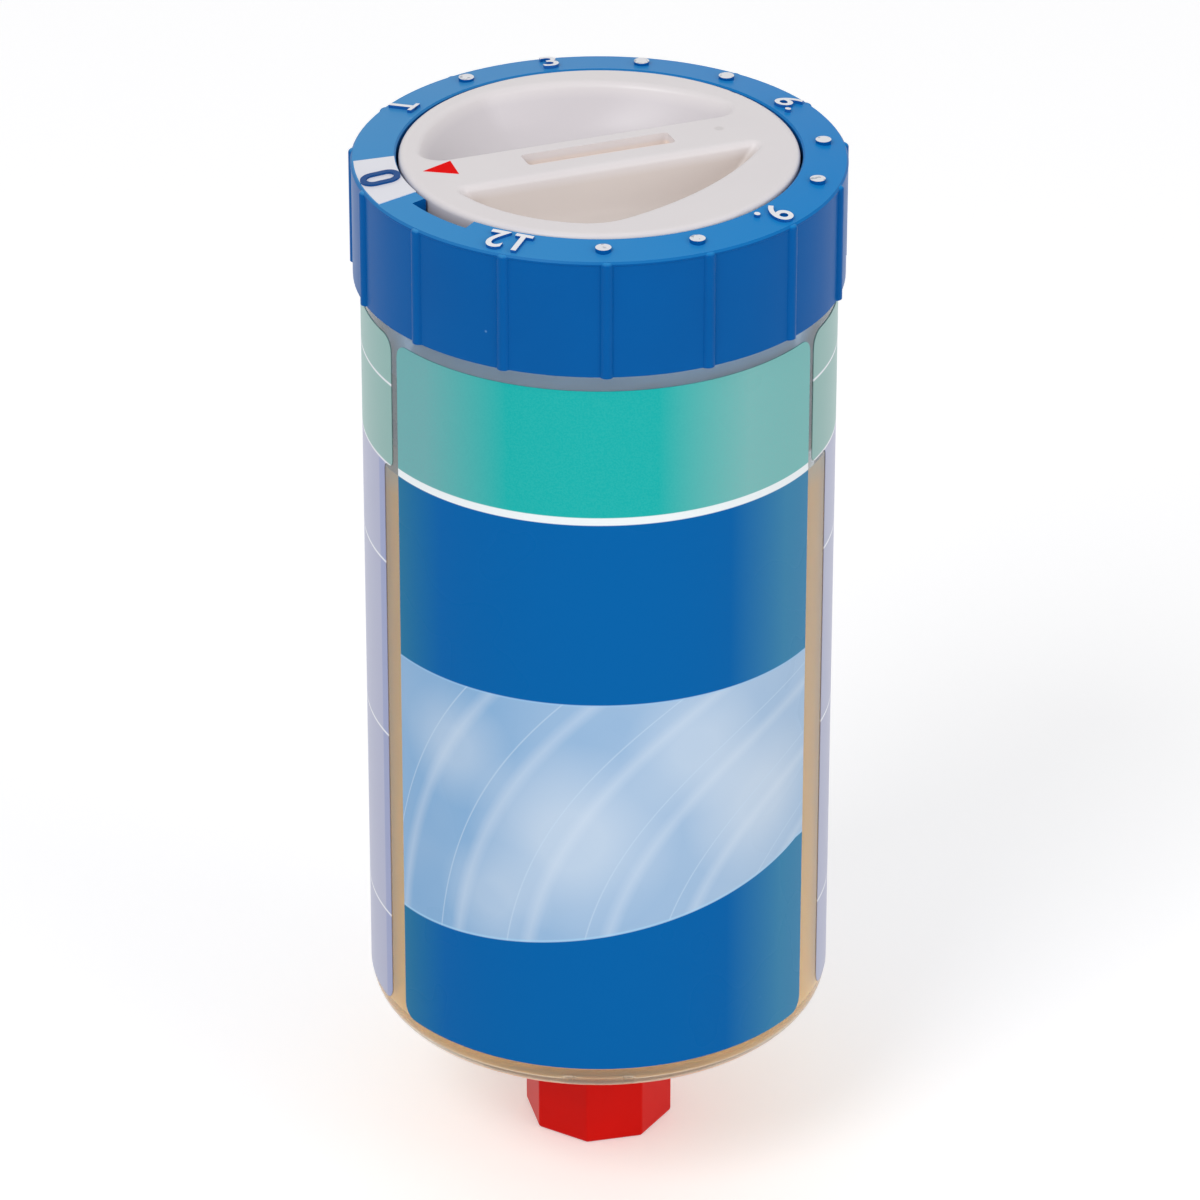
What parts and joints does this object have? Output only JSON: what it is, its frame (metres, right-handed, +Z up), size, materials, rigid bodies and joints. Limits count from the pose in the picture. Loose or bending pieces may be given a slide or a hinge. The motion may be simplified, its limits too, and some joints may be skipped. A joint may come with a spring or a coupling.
{
  "type": "automatic lubricator",
  "caption": "Automatic lubricator: ribbed blue cap with a timer dial on a clear labelled grease canister with a piston, and a red plug on its threaded outlet.",
  "frame": {"origin": "centre of the plug's flat underside, on the surface that the lubricator stands on", "axes": "+Z up along the canister towards the dial, -Y towards the front label's viewer, +X to the viewer's right"},
  "size_m": [0.0543, 0.0542, 0.1218],
  "materials": {
    "clear_plastic": "clear moulded",
    "blue_plastic": "satin moulded",
    "white_plastic": "satin moulded",
    "red_plastic": "satin moulded",
    "black_rubber": "matt",
    "contact_brass": "stamped",
    "olive_plastic": "matt moulded",
    "board_green": "laminate",
    "chip_black": "matt",
    "cell_steel": "drawn",
    "amber_grease": "wet",
    "label_print": "printed film"
  },
  "bodies": {
    "canister": {"container": "clear_plastic", "cap": "blue_plastic", "zero_plate": "white_plastic", "cap_seal": "black_rubber", "cell_carrier": "olive_plastic", "control_board": "board_green", "control_chip": "chip_black", "gas_cell": "cell_steel", "battery_cell_1": "cell_steel", "battery_cell_2": "cell_steel", "battery_cell_3": "cell_steel", "contact_spring_1": "contact_brass", "contact_spring_2": "contact_brass", "contact_spring_3": "contact_brass", "board_screw_1": "cell_steel", "board_screw_2": "cell_steel", "grease": "amber_grease", "front_label": "label_print", "rear_label": "label_print"},
    "dial": {"dial": "white_plastic", "dial_arrow": "red_plastic", "dial_seal": "black_rubber", "dial_contact": "contact_brass"},
    "piston": {"piston": "olive_plastic", "piston_seal": "black_rubber"},
    "washer": {"plug_washer": "black_rubber"},
    "plug": {"plug": "red_plastic"}
  },
  "joints": [
    {"name": "dial_turn", "type": "hinge", "parent": "canister", "child": "dial", "pos_m": [0, 0, 0.118], "axis": [0, 0, 1], "range_deg": [-309, 0]},
    {"name": "piston_travel", "type": "slide", "parent": "canister", "child": "piston", "axis": [0, 0, -1], "range_m": [0, 0.0686], "deforming": ["grease"]},
    {"name": "plug_draw", "type": "slide", "parent": "canister", "child": "washer", "axis": [0, 0, -1], "range_m": [0, 0.01471]},
    {"name": "plug_turn", "type": "hinge", "parent": "washer", "child": "plug", "pos_m": [0, 0, 0.008], "axis": [0, 0, -1], "range_deg": [0, 3960]}
  ],
  "couplings": [
    {"joint": "plug_draw", "follows": "plug_turn", "m_per_rad": 0.00021279}
  ]
}
